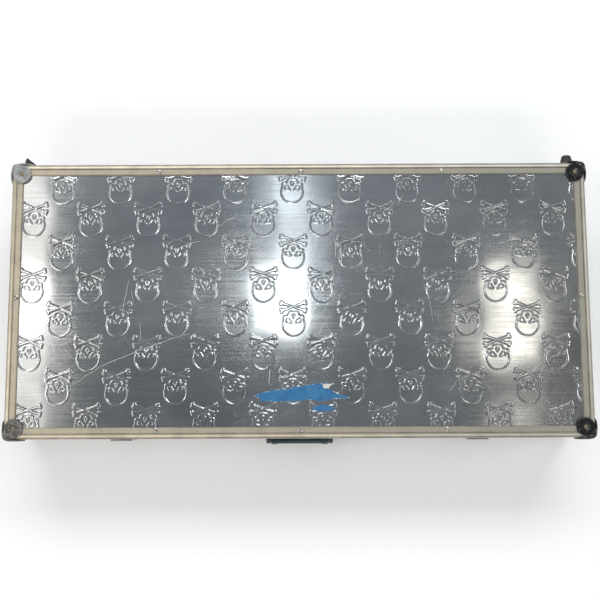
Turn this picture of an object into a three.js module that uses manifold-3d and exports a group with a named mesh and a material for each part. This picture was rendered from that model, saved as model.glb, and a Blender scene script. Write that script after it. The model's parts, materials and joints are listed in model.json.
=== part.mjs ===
// A flat hard carrying case with an embossed aluminium lid, lying on its base.
//
// Frame: millimetres, +X along the case's length, +Y towards the hinges, +Z up.
// The origin is under the middle of the whole object, on the surface that it stands on.
// Two like shells, lid and base, meet at the seam. Each is a clad board with four wall boards,
// held together by mitred edge rails, a mouth rim and riveted corner protectors.
// Sections are drawn with u, the distance inwards from the case's outer side plane, and w, the
// distance from the seam plane: upwards on the lid and downwards on the base.

import * as THREE from "three";
import { mergeVertices } from "three/addons/utils/BufferGeometryUtils.js";
import { RoundedBoxGeometry } from "three/addons/geometries/RoundedBoxGeometry.js";
import Module from "manifold-3d";

const wasm = await Module();
wasm.setup();

// ---------------------------------------------------------------- driving dimensions
const caseLength = 700;
const caseWidth = 332;
const shellHeight = 60; // lid and base alike
const gap = 0.2; // between pieces that touch
const pivotGap = 0.3; // round a pin, a barrel or a lock

const railReach = 14; // how far a rail's flanges reach over the boards
const railBand = 6.2; // the raised outer band of a rail
const railStep = 0.8; // how far the flange lies below the band
const railThick = 2.4; // band to the back of the rail
const railRadius = 4;
const cornerRadius = 5.5; // the case's corners, seen from any side

const sheetThick = 0.8;
const boardThick = 4;
const wallThick = 4.8;
const foamThick = { lid: 16, base: 12 };
const foamInset = 8.6;

const rimSeam = 0.15; // each rim stops this far from the seam plane
const rimWeb = 2.2;
const rimLeg = 10;
const tongueDrop = 4; // the lid rim's tongue reaches this far into the base

const protectorThick = 2;
const lobeRadius = 11.3;
const lobeInset = 12.6; // a lobe's middle, from the two edges beside it
const rivetDish = { radius: 3.1, mouth: 4.6, depth: 1 }; // in the middle of each lobe

const footRadius = 8.3;
const footReach = 16; // from the case's back plane to the foot's tip
const footDepth = 33; // below the lid's top, and above the base's bottom

const hingeSpacing = 420;
const hingeWidth = 60;
const hingeOut = 3.6; // the pin's axis, behind the back plane
const barrelRadius = 3;
const hingePinRadius = 1.5;

const latchSpacing = 440;
const handleWidth = 84;
const handleReach = 12; // from the front plane to the handle's outer face

// ---------------------------------------------------------------- derived places
const halfLength = caseLength / 2;
const halfWidth = caseWidth / 2;
const seamZ = protectorThick + shellHeight;
const boardPlane = railThick + gap; // u of the wall boards' outer faces
const middleY = (handleReach - footReach) / 2; // puts the origin under the whole object's middle
const up = { lid: 1, base: -1 };

// ---------------------------------------------------------------- solids
const colours = {
  sheet: [0xaeb2b5, 0.22, 1.0],
  rail: [0xb9b6ac, 0.38, 1.0],
  wall: [0xa3a6a8, 0.4, 1.0],
  board: [0x6b5a45, 0.85, 0.0],
  protector: [0x24272b, 0.4, 0.3],
  rubber: [0x0c0c0d, 0.7, 0.0],
  foam: [0x26282b, 0.95, 0.0],
  chrome: [0xc4c7ca, 0.15, 1.0],
  grip: [0x173242, 0.45, 0.0],
};

const materials = Object.fromEntries(
  Object.entries(colours).map(([name, [color, roughness, metalness]]) => [
    name,
    new THREE.MeshStandardMaterial({ name, color, roughness, metalness }),
  ]),
);

function solid(geometry) {
  const bare = geometry.clone();
  bare.deleteAttribute("normal");
  bare.deleteAttribute("uv");
  const merged = mergeVertices(bare, 1e-3);
  return new wasm.Manifold(
    new wasm.Mesh({
      numProp: 3,
      vertProperties: new Float32Array(merged.attributes.position.array),
      triVerts: new Uint32Array(merged.index.array),
    }),
  );
}

function geometryOf(made) {
  const mesh = made.getMesh();
  const positions = new Float32Array(mesh.numVert * 3);
  for (let i = 0; i < mesh.numVert; i++) {
    const start = i * mesh.numProp;
    positions.set(mesh.vertProperties.subarray(start, start + 3), i * 3);
  }
  return new THREE.BufferGeometry()
    .setAttribute("position", new THREE.BufferAttribute(positions, 3))
    .setIndex(new THREE.BufferAttribute(mesh.triVerts, 1));
}

const join = (...parts) => parts.reduce((a, b) => a.add(b));
const cut = (body, ...tools) => tools.reduce((a, b) => a.subtract(b), body);

function block([x0, x1], [y0, y1], [z0, z1]) {
  const geometry = new THREE.BoxGeometry(x1 - x0, y1 - y0, z1 - z0);
  return solid(geometry.translate((x0 + x1) / 2, (y0 + y1) / 2, (z0 + z1) / 2));
}

// A cylinder or cone frustum from start to end along "x", "y" or "z", with its middle at
// (a, b) on the other two axes, in X, Y, Z order.
function rod(axis, [a, b], [start, end], radius, endRadius = radius, sides = 24) {
  const length = end - start;
  const geometry = new THREE.CylinderGeometry(endRadius, radius, length, sides);
  geometry.translate(0, (start + end) / 2, 0);
  if (axis === "x") geometry.rotateZ(-Math.PI / 2).translate(0, a, b);
  if (axis === "y") geometry.translate(a, 0, b);
  if (axis === "z") geometry.rotateX(Math.PI / 2).translate(a, b, 0);
  return solid(geometry);
}

const shapeOf = (points) => new THREE.Shape(points.map(([a, b]) => new THREE.Vector2(a, b)));

// An outline in (y, z), extruded along X.
function prismX(shape, [x0, x1]) {
  const geometry = new THREE.ExtrudeGeometry(shape, {
    depth: x1 - x0,
    bevelEnabled: false,
    curveSegments: 5,
  });
  const turn = new THREE.Matrix4().makeBasis(
    new THREE.Vector3(0, 1, 0),
    new THREE.Vector3(0, 0, 1),
    new THREE.Vector3(1, 0, 0),
  );
  return solid(geometry.applyMatrix4(turn).translate(x0, 0, 0));
}

// ---------------------------------------------------------------- the scene graph
const part = new THREE.Group();
const caseGroup = new THREE.Group(); // its origin is on the seam, in the middle of the case
caseGroup.position.set(0, middleY, seamZ);
part.add(caseGroup);

// Adds a named mesh, placed by its position and its turn, in degrees, about X and then Z.
function add(name, made, material, { at = [0, 0, 0], turnX = 0, turnZ = 0, to = caseGroup } = {}) {
  const mesh = new THREE.Mesh(geometryOf(made), materials[material]);
  mesh.name = name;
  mesh.position.set(...at);
  const radians = THREE.MathUtils.degToRad;
  mesh.rotation.set(radians(turnX), 0, radians(turnZ), "ZYX");
  to.add(mesh);
  return mesh;
}

// The four sides of the case. Each piece is drawn as the front one, whose outer plane is
// y = -reach, and turned about Z into its place.
const sides = {
  front: { turn: 0, half: halfLength, reach: halfWidth },
  right: { turn: 90, half: halfWidth, reach: halfLength },
  back: { turn: 180, half: halfLength, reach: halfWidth },
  left: { turn: -90, half: halfWidth, reach: halfLength },
};

// The case's outer form, which rounds the ends of the rails. It is turned as the side is.
function outerForm(side) {
  const { half, reach } = sides[side];
  const sizes = [2 * half, 2 * reach, 2 * shellHeight];
  return solid(new RoundedBoxGeometry(...sizes, 4, cornerRadius));
}

// A straight length of a section, mitred at both ends.
function mitredRail(shape, side, mitreGap) {
  const { half, reach } = sides[side];
  const bar = prismX(shape, [-half, half]);
  const deep = 30; // past the deepest section
  const plan = shapeOf([
    [-half + mitreGap, -reach],
    [half - mitreGap, -reach],
    [half - mitreGap - deep, -reach + deep],
    [-half + mitreGap + deep, -reach + deep],
  ]);
  const tall = 3 * shellHeight; // past both shells
  const mitre = new THREE.ExtrudeGeometry(plan, { depth: tall, bevelEnabled: false });
  return bar.intersect(solid(mitre.translate(0, 0, -tall / 2))).intersect(outerForm(side));
}

// ---------------------------------------------------------------- shells
function edgeRailShape(reach, sign) {
  const top = shellHeight;
  const at = ([u, w]) => [u - reach, sign * w];
  const shape = new THREE.Shape();
  shape.moveTo(...at([railReach, top - railStep]));
  shape.lineTo(...at([railBand, top - railStep]));
  shape.lineTo(...at([railBand, top]));
  shape.lineTo(...at([railRadius, top]));
  shape.quadraticCurveTo(...at([0, top]), ...at([0, top - railRadius]));
  shape.lineTo(...at([0, top - railBand]));
  shape.lineTo(...at([railStep, top - railBand]));
  shape.lineTo(...at([railStep, top - railReach]));
  shape.lineTo(...at([railThick, top - railReach]));
  shape.lineTo(...at([railThick, top - railThick]));
  shape.lineTo(...at([railReach, top - railThick]));
  return shape;
}

function addEdgeRails(shell) {
  for (const side of Object.keys(sides)) {
    const { reach, turn } = sides[side];
    const rail = mitredRail(edgeRailShape(reach, up[shell]), side, gap);
    add(`${shell}_edge_${side}`, rail, "rail", { turnZ: turn });
  }
}

const rimInner = boardPlane + wallThick + gap; // u of the rim's leg inside the wall

// Both rims hold the walls' ends in a channel. The lid's also has a tongue that hangs inside
// the base's, so the mouth keeps out dust.
const rimPoints = {
  lid: [
    [0, rimSeam],
    [0, railBand],
    [railStep, railBand],
    [railStep, railReach],
    [railThick, railReach],
    [railThick, rimWeb],
    [rimInner, rimWeb],
    [rimInner, rimLeg],
    [rimInner + 3.4, rimLeg],
    [rimInner + 3.4, -tongueDrop],
    [rimInner + 2, -tongueDrop],
    [rimInner + 2, rimSeam],
  ],
  base: [
    [0, rimSeam],
    [0, railBand],
    [railStep, railBand],
    [railStep, railReach],
    [railThick, railReach],
    [railThick, rimWeb],
    [rimInner, rimWeb],
    [rimInner, rimLeg],
    [rimInner + 1.6, rimLeg],
    [rimInner + 1.6, rimSeam],
  ],
};

function addRim(shell) {
  const lengths = Object.keys(sides).map((side) => {
    const points = rimPoints[shell].map(([u, w]) => [u - sides[side].reach, up[shell] * w]);
    return mitredRail(shapeOf(points), side, 0).rotate([0, 0, sides[side].turn]);
  });
  add(`${shell}_rim`, join(...lengths), "rail");
}

function addPanels(shell) {
  const across = [-halfLength + boardPlane, halfLength - boardPlane];
  const along = [-halfWidth + boardPlane, halfWidth - boardPlane];
  const layer = (w0, w1) => [up[shell] * w0, up[shell] * w1].sort((a, b) => a - b);
  const sheetTop = shellHeight - boardPlane;
  const boardTop = sheetTop - sheetThick - gap;
  const wallTop = boardTop - boardThick - gap;
  add(`${shell}_sheet`, block(across, along, layer(sheetTop - sheetThick, sheetTop)), "sheet");
  add(`${shell}_board`, block(across, along, layer(boardTop - boardThick, boardTop)), "board");

  const wallLayer = layer(rimWeb + gap, wallTop);
  for (const side of Object.keys(sides)) {
    const { half, reach, turn } = sides[side];
    const runsThrough = side === "front" || side === "back";
    const end = half - boardPlane - (runsThrough ? 0 : wallThick + gap);
    const face = -reach + boardPlane;
    let wall = block([-end, end], [face, face + wallThick], wallLayer);
    if (shell === "base" && side === "front") {
      const openings = [-1, 1].map((sign) =>
        dishOpening().translate([(sign * latchSpacing) / 2, 0, 0]),
      );
      wall = cut(wall, ...openings);
    }
    add(`${shell}_wall_${side}`, wall, "wall", { turnZ: turn });
  }

  const lining = layer(wallTop - foamThick[shell], wallTop);
  add(
    `${shell}_foam`,
    block(
      [-halfLength + foamInset, halfLength - foamInset],
      [-halfWidth + foamInset, halfWidth - foamInset],
      lining,
    ),
    "foam",
  );
}

// A three-lobed protector for the corner at +X, +Y, +Z. The case's corner point is its origin.
// A rounded patch of a ball joins the lobes, and each lobe is dished for its rivet.
function cornerProtector() {
  const seat = gap; // clear of the case's outer planes
  const along = [-lobeInset, -lobeInset];
  const chamfer = 0.9;
  const lobe = (axis) =>
    rod(axis, along, [seat, protectorThick], lobeRadius, lobeRadius - chamfer, 28);
  const over = 0.01;
  const { radius, mouth, depth } = rivetDish;
  const dish = (axis) =>
    rod(axis, along, [protectorThick - depth, protectorThick + over], radius, mouth);

  const patchSize = 16;
  const patchBox = new RoundedBoxGeometry(patchSize, patchSize, patchSize, 4, cornerRadius + 1.5);
  const patchShift = protectorThick - 0.1 - patchSize / 2; // a little lower than the lobes
  const ballRadius = 11.5;
  const ballShift = -4;
  const ball = new THREE.SphereGeometry(ballRadius, 24, 16);
  const patch = solid(patchBox.translate(patchShift, patchShift, patchShift)).intersect(
    solid(ball.translate(ballShift, ballShift, ballShift)),
  );

  const coreSize = 60; // any size that is larger than the lobes' reach
  const coreBox = new RoundedBoxGeometry(coreSize, coreSize, coreSize, 4, cornerRadius);
  const coreShift = seat - coreSize / 2;
  const core = solid(coreBox.translate(coreShift, coreShift, coreShift));
  return cut(join(patch, lobe("x"), lobe("y"), lobe("z")), core, dish("x"), dish("y"), dish("z"));
}

function addCorners(shell) {
  const protector = cornerProtector();
  const corners = [
    ["back_right", 0, 1, 1],
    ["back_left", 90, -1, 1],
    ["front_left", 180, -1, -1],
    ["front_right", 270, 1, -1],
  ];
  for (const [name, degrees, signX, signY] of corners) {
    const at = [signX * halfLength, signY * halfWidth, up[shell] * shellHeight];
    // on the base it hangs upside down, which swaps its two upright lobes
    const place = shell === "lid" ? { turnZ: degrees } : { turnX: 180, turnZ: degrees + 90 };
    add(`${shell}_corner_${name}`, protector, "protector", { at, ...place });
  }
}

// ---------------------------------------------------------------- feet
// Rubber feet on the back wall, beside the corner protectors. The case stands on them when it
// is put down with its handle up.
function addFeet(shell) {
  const start = gap - boardPlane;
  const outline = [
    [0, start],
    [footRadius, start],
    [footRadius, 4],
    [footRadius - 0.9, 8.4],
    [footRadius - 2, 12.4],
    [footRadius - 3, footReach - 0.6],
    [footRadius - 4.2, footReach],
    [0, footReach],
  ];
  const turnedFoot = new THREE.LatheGeometry(
    outline.map(([r, h]) => new THREE.Vector2(r, h)),
    24,
  );
  for (const [name, sign] of Object.entries({ left: -1, right: 1 })) {
    let foot = solid(turnedFoot);
    if (shell === "lid" && name === "left") {
      // worn to a wedge that slopes towards the case's middle
      const wear = shapeOf([
        [-4.4, footReach + 0.1],
        [footRadius + 0.1, 6],
        [footRadius + 1, footReach + 1],
      ]);
      const wide = 4 * footRadius;
      const wedge = new THREE.ExtrudeGeometry(wear, { depth: wide, bevelEnabled: false });
      foot = cut(foot, solid(wedge.translate(0, 0, -wide / 2)));
    }
    const at = [sign * (halfLength - lobeInset), halfWidth, up[shell] * (shellHeight - footDepth)];
    add(`${shell}_foot_${name}`, foot, "rubber", { at });
  }
}

// ---------------------------------------------------------------- hinges
// A cast plate on the outside of a wall: thin over the rim's band, and thicker past the rim,
// where it is seated on the wall board. Heights are w, and out is measured from the outer plane.
function seatedPlate([w0, w1], thick) {
  return [
    [gap, w0],
    [gap + thick, w0],
    [gap + thick, w1],
    [gap - boardPlane, w1],
    [gap - boardPlane, railReach + gap],
    [gap, railReach + gap],
  ];
}

const leafThick = 1.5;
const leafStart = 3.4; // w where a leaf leaves the barrel
const leafEnd = 26;
const knuckleHalf = 9.7; // the lid leaf's knuckle is in the middle
const stopReach = 5.6; // the lid leaf's heel, which meets the base leaf at the lid's limit

function hingeLeaf(shell) {
  const sign = up[shell];
  const plate = prismX(
    shapeOf(
      seatedPlate([leafStart, leafEnd], leafThick).map(([out, w]) => [
        halfWidth + out,
        sign * w,
      ]),
    ),
    [-hingeWidth / 2, hingeWidth / 2],
  );
  const axisY = halfWidth + hingeOut;
  const webZ = [sign * 0, sign * (leafStart + 0.5)].sort((a, b) => a - b);
  const web = (xs) => block(xs, [axisY - barrelRadius, axisY - barrelRadius + leafThick], webZ);
  const barrel = (xs) => rod("x", [axisY, 0], xs, barrelRadius);
  const spans =
    shell === "lid"
      ? [[-knuckleHalf, knuckleHalf]]
      : [
          [-hingeWidth / 2, -knuckleHalf - pivotGap],
          [knuckleHalf + pivotGap, hingeWidth / 2],
        ];
  let leaf = plate;
  for (const xs of spans) leaf = join(leaf, barrel(xs), web(xs));
  if (shell === "lid")
    leaf = leaf.add(block(spans[0], [axisY, axisY + stopReach], [-1.1, 1.0]));
  const bore = rod("x", [axisY, 0], [-hingeWidth, hingeWidth], hingePinRadius + pivotGap);
  return cut(leaf, bore);
}

function addHinges() {
  for (const [name, sign] of Object.entries({ left: -1, right: 1 })) {
    const hinge = new THREE.Group();
    hinge.position.x = (sign * hingeSpacing) / 2;
    caseGroup.add(hinge);
    add(`hinge_${name}_lid_leaf`, hingeLeaf("lid"), "chrome", { to: hinge });
    add(`hinge_${name}_base_leaf`, hingeLeaf("base"), "chrome", { to: hinge });
    const end = hingeWidth / 2 + 1;
    const pin = rod("x", [halfWidth + hingeOut, 0], [-end, end], hingePinRadius);
    add(`hinge_${name}_pin`, pin, "chrome", { to: hinge });
  }
}

// ---------------------------------------------------------------- latches
// Draw latches, each sunk in a dish in the base's front wall. They are drawn fastened, with out,
// measured outwards from the front plane, and height above the seam. The lever turns on a pin
// between the dish's lugs, and the claw turns on studs on the lever's cheeks.
const leverPivot = [-1.2, -20];
const clawArm = 4.5; // from the lever's pivot to the claw's
const overCentre = THREE.MathUtils.degToRad(-100); // the claw pivot's direction when fastened
const leverLift = THREE.MathUtils.degToRad(8); // the lever stands this far off when released
const clawLean = THREE.MathUtils.degToRad(-2.2); // and the claw leans this far off its keeper

const clawPivot = [
  leverPivot[0] + clawArm * Math.cos(overCentre),
  leverPivot[1] + clawArm * Math.sin(overCentre),
];

// From (out, height) to the case's (y, z).
const front = ([out, height]) => [-halfWidth - out, height];

const frontPrism = (points, xs) => prismX(shapeOf(points.map(front)), xs);
const frontRod = (pivot, xs, radius) => rod("x", front(pivot), xs, radius);

// A group that turns what is in it about an axis along X through pivot, given in (out, height).
function pivotGroup(pivot, angle, parent) {
  const place = new THREE.Vector3(0, ...front(pivot));
  const turning = new THREE.Group();
  turning.rotation.x = -angle;
  turning.position.copy(place).sub(place.clone().applyEuler(turning.rotation));
  parent.add(turning);
  return turning;
}

const both = (make, inner, outer) => join(make([-outer, -inner]), make([inner, outer]));

const keeperHalf = 9;
const lugInner = 7.4;
const cheekInner = 9.5;
const cheekOuter = 11;
const clawInner = 11.3;
const clawOuter = 13.1;
const dishHalf = 13.6; // inside
const dishWall = 1;
const flangeHalf = 18;
const dishTop = -15.2;
const dishBottom = -44;
const dishFloor = -6.2;
const latchPinRadius = 1.2;
const studRadius = 1;
const lockRadius = 3.6;
const lockHeight = -32.5;

// An opening for a dish in the base's front wall.
function dishOpening() {
  const half = dishHalf + dishWall + gap;
  const high = [dishBottom - dishWall - gap, dishTop + 2];
  return block([-half, half], [-halfWidth, -halfWidth + 12], high);
}

function latchKeeper() {
  const hooked = [
    [gap, 3.6],
    [1.8, 4.2],
    [1.8, 6.6],
    [0.5, 6.6],
    [0.5, 23],
    [gap - boardPlane, 23],
    [gap - boardPlane, railReach + gap],
    [gap - railStep, railReach + gap],
    [gap - railStep, railBand + gap],
    [gap, railBand + gap],
  ];
  return frontPrism(hooked, [-keeperHalf, keeperHalf]);
}

function latchDish() {
  const depth = (out0, out1) => [-halfWidth - out1, -halfWidth - out0];
  const flangeFace = -1.2;
  const outer = dishHalf + dishWall;
  const flange = block(
    [-flangeHalf, flangeHalf],
    depth(gap - boardPlane, flangeFace),
    [dishBottom - 1.8, -railReach - gap],
  );
  const tub = block(
    [-outer, outer],
    depth(dishFloor - dishWall, flangeFace),
    [dishBottom - dishWall, -railReach - 2 * gap],
  );
  const hollow = block([-dishHalf, dishHalf], depth(dishFloor, 2), [dishBottom, dishTop]);
  const lugRadius = 2.3;
  const stem = depth(dishFloor - 0.5, leverPivot[0]);
  const level = [leverPivot[1] - lugRadius, leverPivot[1] + lugRadius];
  const lug = (xs) => join(frontRod(leverPivot, xs, lugRadius), block(xs, stem, level));
  const bore = frontRod(leverPivot, [-dishHalf, dishHalf], latchPinRadius + pivotGap);
  return cut(join(cut(flange.add(tub), hollow), both(lug, lugInner, cheekInner - pivotGap)), bore);
}

function latchLever() {
  const [inner, outer] = [1.4, 2.6];
  const [pinOut, pinHeight] = leverPivot;
  const face = [
    [inner, pinHeight + 2.4],
    [outer, pinHeight + 2.2],
    [outer, -38],
    [outer + 1.2, -42],
    [inner + 1.2, -42],
    [inner, -38],
  ];
  const cheek = [
    [pinOut - 2.1, pinHeight + 1.4],
    [pinOut - 0.7, pinHeight + 2.4],
    [inner + 0.4, pinHeight + 2.4],
    [inner + 0.4, -38],
    [-1.5, -36],
    [-4, -30],
    [-4.4, -24],
  ];
  const cheeks = both((xs) => frontPrism(cheek, xs), cheekInner, cheekOuter);
  const studs = both((xs) => frontRod(clawPivot, xs, studRadius), cheekInner, clawOuter + 0.2);
  const deep = [-halfWidth - 6, -halfWidth + 1];
  const lockHole = rod("y", [0, lockHeight], deep, lockRadius + pivotGap);
  const bore = frontRod(leverPivot, [-dishHalf, dishHalf], latchPinRadius + pivotGap);
  return cut(join(frontPrism(face, [-cheekOuter, cheekOuter]), cheeks, studs), bore, lockHole);
}

function latchClaw() {
  const [pivotOut, pivotHeight] = clawPivot;
  const leg = [
    [pivotOut - 1, pivotHeight - 1.9],
    [pivotOut + 1, pivotHeight - 1.9],
    [pivotOut + 2.1, pivotHeight - 0.6],
    [1.2, -16],
    [2.2, -6.4],
    [2.4, 1],
    [0.45, 1],
    [0.45, -6],
    [-0.4, -14],
    [-0.8, -15.8],
    [pivotOut - 2.1, pivotHeight + 1],
    [pivotOut - 2.1, pivotHeight - 0.8],
  ];
  const hook = [
    [2.1, -1.6],
    [3.2, -1.6],
    [3.2, 7.8],
    [2.8, 8.2],
    [0.8, 8.2],
    [0.8, 6.9],
    [2.1, 6.9],
  ];
  const legs = both((xs) => frontPrism(leg, xs), clawInner, clawOuter);
  const bore = frontRod(clawPivot, [-dishHalf, dishHalf], studRadius + pivotGap);
  return cut(join(legs, frontPrism(hook, [-clawOuter, clawOuter])), bore);
}

function latchLock() {
  const barrel = rod("y", [0, lockHeight], [-halfWidth - 3.1, -halfWidth + 3], lockRadius);
  const slotDeep = [-halfWidth - 4, -halfWidth - 1.6];
  const slot = block([-0.5, 0.5], slotDeep, [lockHeight - 2.2, lockHeight + 2.2]);
  return cut(barrel, slot);
}

// The lever's group turns about the lever's pivot, and the claw's, inside it, about the claw's.
function addLatches() {
  for (const [name, sign] of Object.entries({ left: -1, right: 1 })) {
    const latch = new THREE.Group();
    latch.position.x = (sign * latchSpacing) / 2;
    caseGroup.add(latch);
    add(`latch_${name}_keeper`, latchKeeper(), "chrome", { to: latch });
    add(`latch_${name}_dish`, latchDish(), "chrome", { to: latch });
    const pin = frontRod(leverPivot, [-cheekOuter, cheekOuter], latchPinRadius);
    add(`latch_${name}_pin`, pin, "chrome", { to: latch });

    const lever = pivotGroup(leverPivot, leverLift, latch);
    add(`latch_${name}_lever`, latchLever(), "chrome", { to: lever });
    add(`latch_${name}_lock`, latchLock(), "chrome", { to: lever });
    const claw = pivotGroup(clawPivot, clawLean - leverLift, lever);
    add(`latch_${name}_claw`, latchClaw(), "chrome", { to: claw });
  }
}

// ---------------------------------------------------------------- handle
const handlePivot = [5, -22]; // out and height
const handleDrop = 26; // from the pivot to the middle of the bar
const barOut = 5.4;
const barTall = 8;
const handlePinRadius = 2.2;
const lugThick = 6;
const armHalf = handleWidth / 2 - lugThick - pivotGap; // the arms' outer faces
const armThick = 8;

function roundedBar([out, height], halfOut, halfTall, radius, xs) {
  const outline = new THREE.Shape();
  const [y, z] = front([out, height]);
  outline.moveTo(y - halfOut + radius, z - halfTall);
  outline.lineTo(y + halfOut - radius, z - halfTall);
  outline.quadraticCurveTo(y + halfOut, z - halfTall, y + halfOut, z - halfTall + radius);
  outline.lineTo(y + halfOut, z + halfTall - radius);
  outline.quadraticCurveTo(y + halfOut, z + halfTall, y + halfOut - radius, z + halfTall);
  outline.lineTo(y - halfOut + radius, z + halfTall);
  outline.quadraticCurveTo(y - halfOut, z + halfTall, y - halfOut, z + halfTall - radius);
  outline.lineTo(y - halfOut, z - halfTall + radius);
  outline.quadraticCurveTo(y - halfOut, z - halfTall, y - halfOut + radius, z - halfTall);
  return prismX(outline, xs);
}

function handleGrip() {
  const [out, height] = handlePivot;
  const barMiddle = [handleReach - barOut, height - handleDrop];
  const bar = roundedBar(barMiddle, barOut, barTall, 4, [-armHalf, armHalf]);
  const armShape = [
    [out - 4.6, height + 2],
    [out - 2, height + 4.6],
    [out + 2, height + 4.6],
    [out + 5, height + 2],
    [handleReach, height - 6],
    [handleReach, height - handleDrop],
    [handleReach - 2 * barOut, height - handleDrop],
    [out - 4.6, height - 6],
  ];
  const arms = both((xs) => frontPrism(armShape, xs), armHalf - armThick, armHalf);
  const bore = frontRod(handlePivot, [-handleWidth, handleWidth], handlePinRadius + pivotGap);
  return cut(join(bar, arms), bore);
}

function handleBracket(sign) {
  const [out, height] = handlePivot;
  const seat = gap - boardPlane;
  const plateShape = [
    [seat, -railReach - 1],
    [0, -railReach - 1],
    [0, -43],
    [seat, -43],
  ];
  const lugShape = [
    [seat, height + 5.5],
    [out, height + 5],
    [out + 4, height + 4],
    [out + 5.4, height],
    [out + 4, height - 4],
    [out, height - 6],
    [seat, height - 12],
  ];
  const plate = frontPrism(plateShape, [armHalf + pivotGap, handleWidth / 2 + 9]);
  const lug = frontPrism(lugShape, [armHalf + pivotGap, handleWidth / 2]);
  const bore = frontRod(handlePivot, [0, handleWidth], handlePinRadius + pivotGap);
  const bracket = cut(join(plate, lug), bore);
  return sign > 0 ? bracket : bracket.mirror([1, 0, 0]);
}

function addHandle() {
  for (const [name, sign] of Object.entries({ left: -1, right: 1 })) {
    add(`handle_bracket_${name}`, handleBracket(sign), "protector");
    const ends = [sign * (armHalf - armThick + 1), (sign * handleWidth) / 2].sort((a, b) => a - b);
    add(`handle_pin_${name}`, frontRod(handlePivot, ends, handlePinRadius), "chrome");
  }
  add("handle_grip", handleGrip(), "grip");
}

// ---------------------------------------------------------------- the case
for (const shell of ["base", "lid"]) {
  addPanels(shell);
  addEdgeRails(shell);
  addRim(shell);
  addCorners(shell);
  addFeet(shell);
}
addHinges();
addLatches();
addHandle();

export default part;
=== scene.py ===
import json
import math

import bmesh
import bpy
import numpy as np
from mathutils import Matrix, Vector, noise
from mathutils.geometry import delaunay_2d_cdt


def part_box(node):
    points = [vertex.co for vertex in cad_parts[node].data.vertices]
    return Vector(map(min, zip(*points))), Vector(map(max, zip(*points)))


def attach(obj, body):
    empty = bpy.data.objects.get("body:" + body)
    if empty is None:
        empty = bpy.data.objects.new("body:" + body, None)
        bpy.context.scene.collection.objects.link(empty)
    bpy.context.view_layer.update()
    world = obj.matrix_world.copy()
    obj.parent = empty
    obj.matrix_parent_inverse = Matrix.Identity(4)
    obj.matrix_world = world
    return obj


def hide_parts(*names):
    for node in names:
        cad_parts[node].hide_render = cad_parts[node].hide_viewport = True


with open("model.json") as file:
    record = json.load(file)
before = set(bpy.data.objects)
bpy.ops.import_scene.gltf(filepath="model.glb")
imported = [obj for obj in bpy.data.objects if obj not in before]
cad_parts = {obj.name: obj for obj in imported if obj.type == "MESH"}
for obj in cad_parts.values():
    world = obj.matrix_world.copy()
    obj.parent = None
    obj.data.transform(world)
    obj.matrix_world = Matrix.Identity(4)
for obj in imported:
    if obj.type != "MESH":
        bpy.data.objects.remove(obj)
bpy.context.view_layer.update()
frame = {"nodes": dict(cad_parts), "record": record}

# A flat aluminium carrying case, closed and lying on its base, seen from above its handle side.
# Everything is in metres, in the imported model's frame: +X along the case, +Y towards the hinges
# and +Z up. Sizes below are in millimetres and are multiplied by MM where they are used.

MM = 0.001
nodes = frame["nodes"]

# ---------------------------------------------------------------- places taken from the frame
sheet_low, sheet_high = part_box("lid_sheet")
base_low, base_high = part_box("base_sheet")
rim_low, rim_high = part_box("lid_rim")
lid_rail_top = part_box("lid_edge_front")[1].z
base_rail_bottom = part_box("base_edge_front")[0].z
CASE_MIDDLE = Vector((0, (rim_low.y + rim_high.y) / 2, 0))
HALF_LENGTH = rim_high.x
HALF_WIDTH = (rim_high.y - rim_low.y) / 2
LOBE_INSET = 12.6 * MM
DISH_FLOOR = 0.95 * MM  # of the dish in each lobe, above the case's outer planes
SIDES = ("left", "right")


# ---------------------------------------------------------------- mesh helpers
def link(obj):
    bpy.context.scene.collection.objects.link(obj)
    return obj


def mesh_object(name, vertices, faces, smooth=True):
    mesh = bpy.data.meshes.new(name)
    mesh.from_pydata([tuple(v) for v in vertices], [], faces)
    mesh.polygons.foreach_set("use_smooth", [smooth] * len(mesh.polygons))
    mesh.update()
    return link(bpy.data.objects.new(name, mesh))


def apply_modifiers(obj):
    """Replaces the object's mesh with its modifiers' result."""
    graph = bpy.context.evaluated_depsgraph_get()
    result = bpy.data.meshes.new_from_object(obj.evaluated_get(graph), depsgraph=graph)
    obj.modifiers.clear()
    obj.data = result
    return obj


def finer(node, bevel=0.3, segments=2, turn_limit=32):
    """A copy of a CAD node with rounded edges, which takes its place. bevel is in millimetres."""
    obj = link(bpy.data.objects.new(f"{node}_fine", nodes[node].data.copy()))
    bm = bmesh.new()
    bm.from_mesh(obj.data)
    bmesh.ops.remove_doubles(bm, verts=bm.verts, dist=0.002 * MM)
    flat = math.radians(0.6)
    bmesh.ops.dissolve_limit(bm, angle_limit=flat, verts=bm.verts, edges=bm.edges)
    bm.to_mesh(obj.data)
    bm.free()
    obj.data.polygons.foreach_set("use_smooth", [True] * len(obj.data.polygons))
    rounding = obj.modifiers.new("rounding", "BEVEL")
    rounding.width = bevel * MM
    rounding.segments = segments
    rounding.limit_method = "ANGLE"
    rounding.angle_limit = math.radians(turn_limit)
    # a wide face keeps its own normal up to the rounding
    obj.modifiers.new("normals", "WEIGHTED_NORMAL").weight = 50
    apply_modifiers(obj)
    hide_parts(node)
    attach(obj, body_of[node])
    return obj


body_of = {
    node: body
    for body, members in frame["record"]["behaviour"]["bodies"].items()
    for node in members
}


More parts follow.
